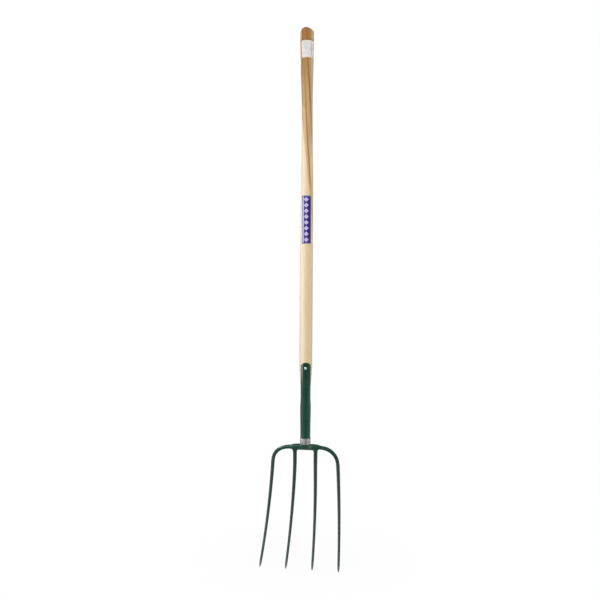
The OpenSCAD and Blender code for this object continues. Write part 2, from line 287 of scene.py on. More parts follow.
def line_at(tree, value, middle, half_width, strength):
    """Soft line where a value passes a middle, strongest in its core."""
    return fade(tree, off(tree, value, middle), line_core, half_width, strength, 0.0)


ash, tree, shader, place = new_finish("waxed_ash")
height = add_node(tree, "SeparateXYZ", {0: place}).outputs[2]
facing = Vector((math.cos(ring_facing), math.sin(ring_facing), 0))
across = measure(tree, place, facing)
depth = measure(tree, place, Vector((-facing.y, facing.x, 0)))
drift = calc(tree, "MULTIPLY_ADD", noise(tree, place, (20, 20, 5)), grain_wander, -grain_wander / 2)
grain = calc(tree, "ADD", across, drift)
past_sap = past_border(tree, grain, height, *sap_border)
past_mellow = past_border(tree, grain, height, *mellow_border)
past_heart = past_border(tree, grain, height, *heart_border)
past_butt = past_border(tree, grain, height, *butt_border)
ring_shift = calc(tree, "MULTIPLY", calc(tree, "SUBTRACT", height, ring_lean_z), ring_lean)
ring_place = calc(tree, "ADD", grain, ring_shift)
slant = add_node(tree, "CombineXYZ", {0: ring_place, 1: depth, 2: height}).outputs[0]
ring_share = calc(tree, "FRACT", calc(tree, "DIVIDE", ring_place, ring_w))
ring_line = fade(tree, ring_share, 0.0, 0.45, 1.0, 0.0)
year_line = calc(tree, "MULTIPLY", ring_line, noise(tree, place, (90, 90, 6)))
streaks = noise(tree, slant, (260, 110, 3.4), detail=3.0, roughness=0.6)
fibres = noise(tree, slant, (1500, 1500, 30), detail=3.0, roughness=0.6)
pores = calc(tree, "MULTIPLY", fade(tree, fibres, 0.54, 0.66), ring_line)

# Cream sapwood, mellow wood past its border, and brown heartwood that deepens towards the butt
cream = blend(tree, fade(tree, grain, *tan_across), sapwood, sapwood_tan)
cream = blend(tree, calc(tree, "MULTIPLY", year_line, 0.7), cream, sapwood_line)
cream = blend(tree, fade(tree, streaks, 0.45, 0.72, 0.0, 0.55), cream, sapwood_line)
mellow = blend(tree, fade(tree, streaks, 0.42, 0.68, 0.0, 0.6), mellow_wood, heartwood)
brown = blend(tree, fade(tree, height, *deepen_up), heartwood, butt_heartwood)
faded = calc(tree, "MULTIPLY", fade(tree, grain, *faded_across, 0.0, 0.55), fade(tree, height, *faded_up))
faded = calc(tree, "MULTIPLY", faded, fade(tree, height, *faded_butt_up, 1.0, 0.35))
brown = blend(tree, faded, brown, faded_wood)
brown = blend(tree, fade(tree, streaks, 0.45, 0.75, 0.0, 0.45), brown, growth_line)
brown = blend(tree, calc(tree, "MULTIPLY", year_line, 0.45), brown, growth_line)
wood = blend(tree, fade(tree, past_sap, *sap_blur), cream, mellow)
wood = blend(tree, fade(tree, past_mellow, *mellow_blur), wood, brown)

# Growth lines and a dark line at the butt's left, pale strips, painted light on both rims, darker wood, pores
heart_line = line_at(tree, past_heart, 0.0, heart_line_half, 0.8)
heart_line = calc(tree, "MULTIPLY", heart_line, fade(tree, height, *heart_line_pale_up, 1.0, 0.55))
heart_line = calc(tree, "MULTIPLY", heart_line, fade(tree, height, *heart_line_end_up, 1.0, 0.0))
heart_line = calc(tree, "MULTIPLY", heart_line, fade(tree, height, *heart_line_up, 0.1, 1.0))
butt_line = line_at(tree, past_butt, 0.0, butt_line_half, 0.95)
sap_line = line_at(tree, past_sap, 0.0, sap_line_half, 0.3)
for line in (heart_line, butt_line, sap_line):
    line = calc(tree, "MULTIPLY", line, fade(tree, streaks, 0.25, 0.55, 0.6, 1.0))
    wood = blend(tree, line, wood, growth_line)
at_butt = fade(tree, height, *strips_up)
# A dark line down the left side of the butt, along the paper label's left edge and above it
left_line = line_at(tree, across, left_line_u, left_line_half, 0.5)
wood = blend(tree, calc(tree, "MULTIPLY", left_line, at_butt), wood, growth_line)
# Painted highlight: a pale strip down the left edge of the butt's flare
left_rim_highlight = calc(tree, "MULTIPLY", fade(tree, across, *left_rim_highlight_across, 0.9, 0.0), at_butt)
right_strip = line_at(tree, grain, right_strip_u, right_strip_half, 0.45)
right_strip = calc(tree, "MULTIPLY", right_strip, at_butt)
low_strip = fade(tree, past_heart, *low_strip_blur, 0.0, 0.85)
low_strip = calc(tree, "MULTIPLY", low_strip, fade(tree, height, *low_strip_up))
strips = calc(tree, "MAXIMUM", calc(tree, "MAXIMUM", left_rim_highlight, right_strip), low_strip)
wood = blend(tree, strips, wood, sapwood_tan)
# Painted light: the right rim of the shaft is painted paler, towards sapwood
wood = blend(tree, fade(tree, across, *right_rim_light_across, 0.0, 0.35), wood, sapwood)
darkening = line_at(tree, height, dark_band_z, dark_band_half, 0.4)
darkening = calc(tree, "MAXIMUM", darkening, fade(tree, height, *dark_dome_up, 0.0, 0.6))
wood = blend(tree, darkening, wood, pore_brown)
wood = blend(tree, calc(tree, "MULTIPLY", pores, 0.4), wood, pore_brown)
wood_rough = calc(tree, "MULTIPLY_ADD", fibres, 0.25, 0.5)
wood_relief = calc(tree, "MULTIPLY_ADD", pores, -0.8, fibres)
shader.inputs["Specular IOR Level"].default_value = 0.15
finish_with(tree, shader, wood, wood_rough, wood_relief, pore_depth)

profile = [(0, foot_z + bore_depth), (bore_end_r, foot_z + bore_depth), (bore_r, foot_z)]
rows = round((dome_z - foot_z) / lathe_row)
row_heights = [foot_z + (dome_z - foot_z) * row / rows for row in range(rows + 1)]
profile += [(shaft_r(z), z) for z in row_heights]
dome_angles = [math.radians(90 * step / dome_steps) for step in range(1, dome_steps + 1)]
profile += [
    (max(0.0, butt_r * math.cos(a) ** dome_peak), dome_z + dome_h * math.sin(a) ** dome_peak)
    for a in dome_angles
]
bm = turn_on_lathe(profile, lathe_steps)
for v in bm.verts:
    if v.co.z > dome_z:
        v.co.x -= dome_lean * ((v.co.z - dome_z) / dome_h) ** dome_lean_power
    turn = math.atan2(v.co.x, -v.co.y) - seat_turn
    turn = math.atan2(math.sin(turn), math.cos(turn))
    on_skin = v.co.xy.length > skin_r
    below_arch = v.co.z < seat_top_z - lathe_row
    if on_skin and below_arch and abs(turn) < seat_reach(v.co.z + lathe_row) - seat_margin:
        sink = seat_depth if v.co.z > ferrule_top_z else tail_depth
        v.co.xy *= 1 - sink / v.co.xy.length
    v.co.x += bowed(v.co.z)
shaft = add_object("ash_shaft", bm, ash)
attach(shaft, "root")
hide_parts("shaft")

# Forged head
# One piece of steel: a crossbar with a collar and a tang that is driven into the shaft's foot, two inner
# tines drawn out of its underside and two outer tines drawn out of its ends and bent down at the shoulders.
# The whole is dipped in green enamel.
bar_foot_z = foot_z - 18.4 * MM
arm_z = foot_z - 10.9 * MM
arm_joint_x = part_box("crossbar")[1].x
tine_r = 6 * MM
tine_end_r = 3.5 * MM
tine_ring_gap = 11 * MM
point_r = 0.8 * MM
point_length = 13 * MM
point_shares = (0.35, 0.65, 0.87, 1.0)
curve_z = foot_z - 35.1 * MM
curve_r = 480 * MM
curve_angle = math.radians(38)
tip_z = curve_z - curve_r * math.sin(curve_angle)
inner_x = 29 * MM
inner_run = bar_foot_z - tip_z
inner_splay = 8.4 * MM
root_spread = 1.8 * MM
root_run = 70 * MM
bend_x = arm_joint_x + 3.3 * MM
bend_r = 49 * MM
bend_z = arm_z - bend_r
outer_tip_x = bend_x + bend_r + 14.6 * MM
forge_weld = 0.1 * MM
# A ring of six corners smooths to a circle of this share of its own radius
six_share = 0.832


def forward(z):
    """How far the tines have come forward at a height."""
    turn = math.asin(max(0.0, curve_z - z) / curve_r)
    return curve_r * (1 - math.cos(turn))


def inner_path(s):
    """Middle of the right inner tine at a distance below its root."""
    z = bar_foot_z - s
    spread = root_spread * max(0.0, 1 - s / root_run) ** 2
    return Vector((inner_x + inner_splay * s / inner_run + spread, -forward(z), z))


tip_from_bend = Vector((outer_tip_x - bend_x, tip_z - bend_z))
splay = math.atan2(tip_from_bend.y, tip_from_bend.x) + math.acos(bend_r / tip_from_bend.length)
straight_run = bend_x - arm_joint_x
bend_run = bend_r * (math.pi / 2 - splay)
fall_run = math.sqrt(tip_from_bend.length ** 2 - bend_r ** 2)
outer_run = straight_run + bend_run + fall_run


def outer_path(s):
    """Middle of the right outer tine at a distance from the end of its arm."""
    past_arm = s - straight_run
    a = math.pi / 2 - min(max(past_arm, 0.0), bend_run) / bend_r
    fall = max(0.0, past_arm - bend_run)
    x = bend_x + min(past_arm, 0.0) + bend_r * math.cos(a) + fall * math.sin(splay)
    z = bend_z + bend_r * math.sin(a) - fall * math.cos(splay)
    return Vector((x, -forward(z), z))


def tine_frames(path, run):
    """Frames along a tine from its root to its point, each as large as the tine is thick there."""
    body = run - point_length
    count = math.ceil(body / tine_ring_gap)
    stops = [body * k / count for k in range(count + 1)]
    sizes = [tine_r + (tine_end_r - tine_r) * s / body for s in stops]
    for share in point_shares:
        stops.append(body + point_length * share)
        sizes.append(tine_end_r + (point_r - tine_end_r) * share ** 2)
    frames = []
    for s, size in zip(stops, sizes):
        along = (path(s + MM) - path(max(0.0, s - MM))).normalized()
        if s == 0:
            along = Vector((round(along.x), 0, round(along.z)))
        across = Vector((-along.z, 0, along.x)).normalized()
        axes = Matrix((across, across.cross(along), along)).transposed()
        frames.append(Matrix.Translation(path(s)) @ axes.to_4x4() @ Matrix.Diagonal((size, size, size, 1)))
    return frames


def draw_out(bm, face, frames):
    """Extrudes a face from frame to frame, as a smith draws a bar out to a taper."""
    for before, after in zip(frames, frames[1:]):
        face = bmesh.ops.extrude_discrete_faces(bm, faces=[face])["faces"][0]
        bmesh.ops.transform(bm, matrix=after @ before.inverted(), verts=face.verts)


# Sections of the crossbar's right half: place along X, then how far the top, the middle and the underside
# reach forward and how high they lie over the arms' middle, in millimetres
collar_x = 9
arm_corner = tine_r / MM / six_share
arm_corners = [(arm_corner * y, arm_corner * z) for y, z in ((0.5, 0.866), (1, 0), (0.5, -0.866))]
bar_sections = [
    (0, (13.2, 8.7), (8.4, -0.4), (5.8, -8.5)),
    (collar_x, (11.2, 9.2), (8.4, -0.4), (5.8, -8.5)),
    (17.5, (6.0, 10.8), (8.4, 0.2), (6.0, -8.5)),
    (24.4, (5.6, 10.6), (8.4, 0.2), (6.4, -8.3)),
    (37.2, (5.0, 9.2), (8.0, 0), (6.4, -7.9)),
    (arm_joint_x / MM, *arm_corners),
]
bm = bmesh.new()
bmesh.ops.create_circle(bm, segments=6, radius=1, cap_ends=True)
for axis in "ZY":
    bmesh.ops.rotate(bm, cent=(0, 0, 0), matrix=Matrix.Rotation(math.pi / 2, 3, axis), verts=bm.verts)
face = bm.faces[:][0]
corners = [(round(v.co.z), v.co.y > 0) for v in face.verts]
rings = []
for x, top, middle, foot in bar_sections:
    if rings:
        face = bmesh.ops.extrude_discrete_faces(bm, faces=[face])["faces"][0]
    for v, (level, behind) in zip(face.verts, corners):
        reach, rise = {1: top, 0: middle, -1: foot}[level]
        v.co = (x * MM, reach * MM if behind else -reach * MM, arm_z + rise * MM)
    rings.append(dict(zip(corners, face.verts)))
draw_out(bm, face, tine_frames(outer_path, outer_run))

# The inner tine grows out of the underside between the fourth section and the fifth
tine_root = {rings[k][-1, behind] for k in (3, 4) for behind in (False, True)}
face = next(f for f in bm.faces if set(f.verts) == tine_root)
draw_out(bm, face, tine_frames(inner_path, inner_run))
middle_faces = [f for f in bm.faces if all(abs(v.co.x) < forge_weld for v in f.verts)]
bmesh.ops.delete(bm, geom=middle_faces, context="FACES_ONLY")
bmesh.ops.mirror(bm, geom=bm.verts[:] + bm.edges[:] + bm.faces[:], axis="X", merge_dist=forge_weld)
bmesh.ops.remove_doubles(bm, verts=bm.verts, dist=forge_weld)
bmesh.ops.recalc_face_normals(bm, faces=bm.faces)

# Forging by hand left the sides unlike: the left shoulder is squarer and the right arm leaves the bar higher
square_by = 3.5 * MM
arm_lift = 2.2 * MM
arm_lift_top_share = 0.3
lift_x = 37 * MM
lift_reach = 9 * MM
for v in bm.verts:
    over = v.co.z - bend_z
    out = -v.co.x - bend_x
    if over > 0 and out > 0:
        a = math.atan2(over, out)
        v.co += Vector((-math.cos(a), 0, math.sin(a))) * square_by * math.sin(2 * a) ** 2 * math.cos(a)
    elif v.co.x > 0 and v.co.z > bar_foot_z - MM:
        share = 1.0 if v.co.z < arm_z else arm_lift_top_share
        v.co.z += share * arm_lift * math.exp(-((v.co.x - lift_x) / lift_reach) ** 2)

# The collar under the ferrule's foot, and the tang above it: radius and height of each ring
ferrule_overhang = 1.5 * MM
collar_top_z = foot_z - ferrule_overhang
collar_r = 14.25 * MM
collar_h = 1.1 * MM
collar_edge = 0.3 * MM
tang_shank = 4 * MM
collar_rings = [
    (collar_r / six_share, collar_top_z - collar_h),
    (collar_r / six_share, collar_top_z - collar_edge),
    (collar_r, collar_top_z),
    (tang_r / six_share, collar_top_z),
    (tang_r / six_share, foot_z + tang_shank),
    (tang_end_r / six_share, foot_z + tang_length),
]
level_share = 0.8
collar = []
for f in bm.faces:
    middle = f.calc_center_median()
    if abs(middle.x) < collar_x * MM and middle.z > arm_z and abs(f.normal.z) > level_share:
        collar.append(f)
for radius, z in collar_rings:
    raised = bmesh.ops.extrude_face_region(bm, geom=collar)
    bmesh.ops.delete(bm, geom=collar, context="FACES")
    collar = [item for item in raised["geom"] if isinstance(item, bmesh.types.BMFace)]
    for v in {v for f in collar for v in f.verts}:
        side = 0 if abs(v.co.x) < forge_weld else math.copysign(math.pi / 3, v.co.x)
        forth = math.copysign(1, v.co.y)
        v.co = (radius * math.sin(side), forth * radius * math.cos(side), z)
bmesh.ops.recalc_face_normals(bm, faces=bm.faces)

enamel_green = tone(20, 67, 51)
enamel_light = tone(28, 80, 62)
enamel_dark = tone(15, 54, 42)
worn_green = tone(36, 56, 50)
strap_highlight_green = tone(132, 158, 150)
sheen_patch_green = tone(96, 116, 98)
rubbed_steel = tone(92, 97, 95)
enamel_depth = 0.012 * MM
# Enamel worn down the tines and off the points; painted reflection on the bar, painted highlight on the strap
worn_up = (foot_z - 5 * MM, foot_z - 80 * MM)
sheen_patch_place = Vector((16 * MM, -11 * MM, foot_z - 7 * MM))
sheen_patch_blur = (6 * MM, 13 * MM)
sheen_patch_rag = 6 * MM
strap_across = Vector((math.cos(seat_turn), math.sin(seat_turn), 0))
strap_highlight_u = -10.2 * MM
strap_highlight_half = 2.8 * MM
strap_highlight_up = (seat_top_z - 75 * MM, seat_top_z - 25 * MM)
rub_up = (tip_z + 16 * MM, tip_z + 40 * MM)
rub_rag = 24 * MM

green, tree, shader, place = new_finish("green_enamel")
height = add_node(tree, "SeparateXYZ", {0: place}).outputs[2]
cloud = noise(tree, place, (45, 45, 18), detail=3.0)
peel = noise(tree, place, (420, 420, 420))
lumps = noise(tree, place, (90, 90, 60))
colour = blend(tree, fade(tree, cloud, 0.3, 0.5), enamel_dark, enamel_green)
colour = blend(tree, fade(tree, cloud, 0.5, 0.75), colour, enamel_light)
worn = fade(tree, height, *worn_up, 0.0, 0.75)
worn = calc(tree, "MULTIPLY", worn, fade(tree, cloud, 0.25, 0.6, 1.0, 0.75))
colour = blend(tree, worn, colour, worn_green)
# Painted reflection: a pale olive patch on the bar to the right of the collar
from_sheen_patch = add_node(tree, "VectorMath", {0: place, 1: sheen_patch_place}, operation="DISTANCE").outputs["Value"]
sheen_patch_edge = calc(tree, "MULTIPLY_ADD", lumps, sheen_patch_rag, from_sheen_patch)
colour = blend(tree, fade(tree, sheen_patch_edge, *sheen_patch_blur, 0.6, 0.0), colour, sheen_patch_green)
# Painted highlight: a pale line down the left rim of the strap's upper end
strap_highlight = line_at(tree, measure(tree, place, strap_across), strap_highlight_u, strap_highlight_half, 0.7)
strap_highlight = calc(tree, "MULTIPLY", strap_highlight, fade(tree, height, *strap_highlight_up))
colour = blend(tree, strap_highlight, colour, strap_highlight_green)
rub_height = calc(tree, "MULTIPLY_ADD", noise(tree, place, (120, 120, 60)), rub_rag, height)
colour = blend(tree, fade(tree, rub_height, *rub_up, 0.85, 0.0), colour, rubbed_steel)
gloss = calc(tree, "MULTIPLY_ADD", cloud, 0.14, 0.18)
gloss = calc(tree, "MULTIPLY_ADD", worn, 0.08, gloss)
relief = calc(tree, "MULTIPLY_ADD", lumps, 3.0, peel)
tree.links.new(calc(tree, "MULTIPLY_ADD", worn, 0.3, 0.2), shader.inputs["Specular IOR Level"])
finish_with(tree, shader, colour, gloss, relief, enamel_depth)

head = add_object("forged_head", bm, green, math.pi)
smooth = head.modifiers.new("forging", "SUBSURF")
smooth.levels = smooth.render_levels = 3
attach(head, "root")
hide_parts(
    "crossbar", "left_outer_tine", "left_inner_tine", "right_inner_tine", "right_outer_tine"
)

# Ferrule
# A short ring cut from steel tube, its edges broken and the whole zinc plated, pressed on the shaft's foot
# over the strap's tail. It keeps the wood from splitting round the tang.
ferrule_low, ferrule_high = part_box("ferrule")
ferrule_r = ferrule_high.x
ferrule_bore = ferrule_r - 2 * MM
ferrule_edge = 0.6 * MM
ferrule_foot_z = ferrule_low.z - ferrule_overhang
edge_steps = 5


def rounded_ring(bore, radius, low_z, high_z, edge):
    """Closed section of a ring whose outer edges are rounded."""
    quarter = [math.radians(90 * step / edge_steps) for step in range(edge_steps + 1)]
    foot = [(radius - edge + edge * math.sin(a), low_z + edge - edge * math.cos(a)) for a in quarter]
    top = [(radius - edge + edge * math.cos(a), high_z - edge + edge * math.sin(a)) for a in quarter]
    return [(bore, low_z), *foot, *top, (bore, high_z), (bore, low_z)]


zinc_bright = tone(200, 201, 200)
zinc_dull = tone(88, 89, 91)
zinc_warm = tone(166, 158, 152)
zinc_rim = (0.3, 0.3, 0.3, 1.0)
zinc_depth = 0.06 * MM
left_shade_across = (0.0, 8 * MM)
zinc, tree, shader, place = new_finish("zinc_plate")
smear = noise(tree, place, (160, 160, 90), detail=4.0, roughness=0.65)
spangle = add_node(tree, "TexVoronoi", {"Vector": place, "Scale": 420.0}).outputs["Color"]
spark = add_node(tree, "SeparateColor", {0: spangle}).outputs[0]
draw_lines = noise(tree, place, (60, 60, 2600))
colour = blend(tree, fade(tree, smear, 0.42, 0.66), zinc_bright, zinc_dull)
colour = blend(tree, fade(tree, noise(tree, place, (110, 110, 60)), 0.5, 0.7, 0.0, 0.6), colour, zinc_warm)
colour = blend(tree, calc(tree, "MULTIPLY", spark, 0.25), colour, zinc_dull)
# Painted shade: the left side of the ferrule and of the burr is darkened towards dull zinc
left_shade = fade(tree, measure(tree, place, strap_across), *left_shade_across, 0.48, 0.0)
colour = blend(tree, left_shade, colour, zinc_dull)
gloss = calc(tree, "MULTIPLY_ADD", smear, 0.3, 0.42)
relief = calc(tree, "MULTIPLY_ADD", draw_lines, 0.4, smear)
shader.inputs["Metallic"].default_value = 1.0
shader.inputs["Specular Tint"].default_value = zinc_rim
finish_with(tree, shader, colour, gloss, relief, zinc_depth)

section = rounded_ring(ferrule_bore, ferrule_r, ferrule_foot_z, ferrule_top_z, ferrule_edge)
ferrule = add_object("zinc_ferrule", turn_on_lathe(section, lathe_steps), zinc)
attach(ferrule, "root")
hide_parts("ferrule")

# Strap
# A half-round strap of pressed steel sheet with an arched end at the top, dipped in enamel like the head. It
# lies in its seat on the nose, steps out to a lip over the ferrule and tucks its tail under it.
strap_thick = 2.2 * MM
strap_edge = 0.7 * MM
strap_columns = 36
tail_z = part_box("strap")[0].z
tail_row_z = ferrule_top_z - 6 * MM
lip_r = 15.05 * MM
lip_step = 0.3 * MM
lip_top_z = ferrule_top_z + 2.5 * MM
knee_z = lip_top_z + 6 * MM
knee_rows = 6
blade_rows = 60
arch_z = seat_top_z - seat_arch
arch_rows = 12
arch_end = math.radians(87)
rim_angle = math.radians(55)


def strap_r(z):
    """Outer radius of the strap at a height."""
    if z < ferrule_top_z:
        return nose_r
    rise = min(1.0, max(0.0, (z - lip_top_z) / (knee_z - lip_top_z)))
    return lip_r + (shaft_r(z) + strap_proud - lip_r) * (1 - math.cos(math.pi * rise)) / 2


def face_outwards(bm):
    """Turns the faces of an open sheet away from the shaft's axis."""
    bmesh.ops.recalc_face_normals(bm, faces=bm.faces)
    if sum(f.normal.dot(f.calc_center_median().xy.to_3d()) for f in bm.faces) < 0:
        bmesh.ops.reverse_faces(bm, faces=bm.faces)


strap_rows = [tail_z, tail_row_z, ferrule_top_z - lip_step, ferrule_top_z + lip_step, lip_top_z]
strap_rows += [lip_top_z + (knee_z - lip_top_z) * k / knee_rows for k in range(1, knee_rows + 1)]
strap_rows += [knee_z + (arch_z - knee_z) * k / blade_rows for k in range(1, blade_rows + 1)]
strap_rows += [arch_z + seat_arch * math.sin(arch_end * k / arch_rows) for k in range(1, arch_rows + 1)]
last_row = len(strap_rows) - 1
bm = bmesh.new()
bmesh.ops.create_grid(bm, x_segments=strap_columns, y_segments=last_row, size=1)
for v in bm.verts:
    z = strap_rows[round((v.co.y + 1) / 2 * last_row)]
    turn = seat_turn + v.co.x * seat_reach(z)
    v.co = (strap_r(z) * math.sin(turn), -strap_r(z) * math.cos(turn), z)
face_outwards(bm)
strap = add_object("riveted_strap", bm, green, math.pi)
wall = strap.modifiers.new("sheet", "SOLIDIFY")
wall.thickness = strap_thick
wall.offset = -1
rim = strap.modifiers.new("rim", "BEVEL")
rim.width = strap_edge
rim.segments = 3
rim.limit_method = "ANGLE"
rim.angle_limit = rim_angle
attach(strap, "root")
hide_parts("strap")

# Strap rivet
# A steel rivet through strap and shaft, with a low domed head at the front and a closed end at the back. Its
# mint-white colour is a painted highlight. It is clenched over the burr, which leaves a slightly flattened
# crown.
rivet_z = seat_top_z - 16.5 * MM
rivet_r = 2.5 * MM
rivet_head_r = 3.4 * MM
rivet_head_h = 2 * MM
rivet_end_r = 4 * MM
rivet_end_h = 1.6 * MM
rivet_steps = 40
crown_steps = 8
crown_power = 0.8
burr_r = 7 * MM
burr_thick = 1.3 * MM
head_seat = math.sqrt((shaft_r(rivet_z - rivet_head_r) + strap_proud) ** 2 - rivet_head_r ** 2)
burr_seat = math.sqrt(shaft_r(rivet_z - burr_r) ** 2 - burr_r ** 2)
rivet_back = -burr_seat - burr_thick
rivet_turn = Matrix.Rotation(seat_turn, 4, "Z") @ Matrix.Rotation(math.pi / 2, 4, "X")
rivet_place = Matrix.Translation((0, 0, rivet_z)) @ rivet_turn


def crown(radius, height, base):
    """Rim to crown of a rivet's dome, flattened at the top by the hammer."""
    angles = [math.radians(90 * step / crown_steps) for step in range(crown_steps + 1)]
    return [(max(0.0, radius * math.cos(a)), base + height * math.sin(a) ** crown_power) for a in angles]


# Painted highlight: the rivet's mint-white tones
rivet_highlight_mint = tone(214, 244, 236)
rivet_highlight_grey = tone(150, 184, 174)
rivet_depth = 0.05 * MM
bright, tree, shader, place = new_finish("rivet_painted_highlight")
marks = noise(tree, place, (900, 900, 900), detail=3.0)
colour = blend(tree, fade(tree, marks, 0.45, 0.7), rivet_highlight_mint, rivet_highlight_grey)
gloss = calc(tree, "MULTIPLY_ADD", marks, 0.3, 0.18)
shader.inputs["Metallic"].default_value = 1.0
finish_with(tree, shader, colour, gloss, marks, rivet_depth)

front = [(rivet_r, head_seat), *crown(rivet_head_r, rivet_head_h, head_seat)]
back = [*reversed(crown(rivet_end_r, -rivet_end_h, rivet_back)), (rivet_r, rivet_back)]
bm = turn_on_lathe(back + front, rivet_steps)
bmesh.ops.transform(bm, matrix=rivet_place, verts=bm.verts)
rivet = add_object("steel_rivet", bm, bright)
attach(rivet, "root")
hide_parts("strap_rivet")

# Rivet burr
# A zinc plated washer, punched from sheet, let into a flat spotface at the back of the shaft.
# The rivet's closed end is clenched down on it so that the wood isn't crushed.
burr_edge = 0.35 * MM
burr_bore = rivet_r + 0.1 * MM
burr_steps = 56
section = rounded_ring(burr_bore, burr_r, rivet_back, -burr_seat, burr_edge)
bm = turn_on_lathe(section, burr_steps)
bmesh.ops.transform(bm, matrix=rivet_place, verts=bm.verts)
burr = add_object("burr_washer", bm, zinc)
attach(burr, "root")
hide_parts("rivet_burr")

# The spotface is cut into the shaft with a plug that is a little wider than the burr
plug_r = burr_r + 0.15 * MM
plug_back = -30 * MM
section = [(0, plug_back), (plug_r, plug_back), (plug_r, -burr_seat), (0, -burr_seat)]
bm = turn_on_lathe(section, burr_steps)
bmesh.ops.transform(bm, matrix=rivet_place, verts=bm.verts)
plug = add_object("spotface_plug", bm)
spotface = shaft.modifiers.new("spotface", "BOOLEAN")
spotface.object = plug
spotface.operation = "DIFFERENCE"
spotface.solver = "EXACT"
cut_mesh = bpy.data.meshes.new_from_object(shaft.evaluated_get(bpy.context.evaluated_depsgraph_get()))
shaft.modifiers.clear()
shaft.data = cut_mesh
bpy.data.objects.remove(plug)

# Paper label
# A plain off-white paper label, cut to a rectangle and glued round the front and right of the butt. Handling
# has yellowed it at its upper and lower edges and creased it down its right side.
paper_low, paper_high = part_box("paper_label")
paper_turn = math.radians(24)
paper_w = 44 * MM
paper_cells = (40, 20)
crease_share = 0.7
label_thick = 0.25 * MM
label_lift = 0.35 * MM


def wrapped_label(width, low_z, high_z, turn, lean, cells):
    """A sheet of label stock wrapped on the shaft, with a UV map that runs across and up it."""
    bm = bmesh.new()
    bm.loops.layers.uv.new("label")
    bmesh.ops.create_grid(bm, x_segments=cells[0], y_segments=cells[1], size=1, calc_uvs=True)
    half_angle = width / 2 / shaft_r((low_z + high_z) / 2)
    for v in bm.verts:
        z = low_z + (high_z - low_z) * (v.co.y + 1) / 2
        a = turn + v.co.x * half_angle - v.co.y * lean
        r = shaft_r(z) + label_lift
        v.co = (bowed(z) + r * math.sin(a), -r * math.cos(a), z)
    face_outwards(bm)
    return bm


def give_thickness(piece):
    """Gives a label its thickness, inwards from its face."""
    stock = piece.modifiers.new("stock", "SOLIDIFY")
    stock.thickness = label_thick
    stock.offset = -1


def label_shares(tree):
    """How far across a label and how far up it a place is, each as a share."""
    uv = add_node(tree, "UVMap", {}, uv_map="label").outputs[0]
    parts = add_node(tree, "SeparateXYZ", {0: uv})
    return parts.outputs[0], parts.outputs[1]


paper_white = tone(222, 218, 215)
paper_painted_light = tone(244, 241, 233)
paper_blue = tone(192, 198, 203)
paper_pink = tone(236, 219, 213)
paper_cream = tone(232, 213, 193)
crease_shade_grey = tone(160, 156, 152)
paper_depth = 0.05 * MM
paper, tree, shader, place = new_finish("label_paper")
across_share, up_share = label_shares(tree)
blotch = noise(tree, place, (120, 120, 70))
stain = noise(tree, place, (90, 90, 110))
pulp = noise(tree, place, (2200, 2200, 2200), detail=3.0)
from_middle = off(tree, up_share, 0.5)
# Painted light: the right half of the label is painted lighter
colour = blend(tree, fade(tree, across_share, 0.5, 0.85), paper_white, paper_painted_light)
colour = blend(tree, fade(tree, blotch, 0.42, 0.6, 0.0, 0.8), colour, paper_blue)
colour = blend(tree, fade(tree, stain, 0.5, 0.7, 0.0, 0.6), colour, paper_pink)
colour = blend(tree, fade(tree, across_share, 0.06, 0.2, 0.9, 0.0), colour, paper_pink)
colour = blend(tree, fade(tree, from_middle, 0.4, 0.47, 0.0, 0.85), colour, paper_cream)
# Painted shade: the crease is darkened towards grey, and its relief sinks it
crease_and_shade = fade(tree, off(tree, across_share, crease_share), 0.0, 0.055, 0.85, 0.0)
crease_and_shade = calc(tree, "MULTIPLY", crease_and_shade, fade(tree, from_middle, 0.25, 0.36, 1.0, 0.0))
colour = blend(tree, crease_and_shade, colour, crease_shade_grey)
dull = calc(tree, "MULTIPLY_ADD", pulp, 0.15, 0.7)
relief = calc(tree, "MULTIPLY_ADD", crease_and_shade, -2.0, pulp)
finish_with(tree, shader, colour, dull, relief, paper_depth)

bm = wrapped_label(paper_w, paper_low.z, paper_high.z, paper_turn, 0.0, paper_cells)
paper_label = add_object("butt_label", bm, paper, math.pi)
give_thickness(paper_label)
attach(paper_label, "root")
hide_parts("paper_label")

# Purple label
# A film label printed in indigo with a pale line at each end, a pale band down its left side that is partly
# print and partly a painted reflection, and a row of plain pale lozenges. It is glued on the shank above the
# grip, a little out of upright.
purple_low, purple_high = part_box("purple_label")
purple_turn = math.radians(4.2)
purple_lean = math.radians(1.9)
purple_w = 28.2 * MM
purple_h = purple_high.z - purple_low.z
purple_cells = (24, 48)
border_in = 1.6 * MM
border_w = 0.7 * MM
sheen_band_in = 5.3 * MM
sheen_band_w = 3.4 * MM
margin = 2 * border_in
margin_blur = 0.1 * MM
print_blur = 0.2 * MM
lozenge_count = 8
lozenge_half_w = 7.4 * MM
lozenge_half_h = 7.2 * MM
lozenge_pitch = (purple_h - 2 * margin) / lozenge_count

indigo = tone(54, 43, 120)
indigo_deep = tone(42, 31, 104)
lilac = tone(190, 181, 226)
film_depth = 0.12 * MM
purple, tree, shader, place = new_finish("label_purple")
across_share, up_share = label_shares(tree)
from_side = calc(tree, "MULTIPLY", off(tree, across_share, 0.5), purple_w)
from_middle = calc(tree, "MULTIPLY", off(tree, up_share, 0.5), purple_h)
end_gap = calc(tree, "SUBTRACT", purple_h / 2, from_middle)
border = fade(tree, off(tree, end_gap, border_in), border_w / 2, border_w / 2 + print_blur, 1.0, 0.0)
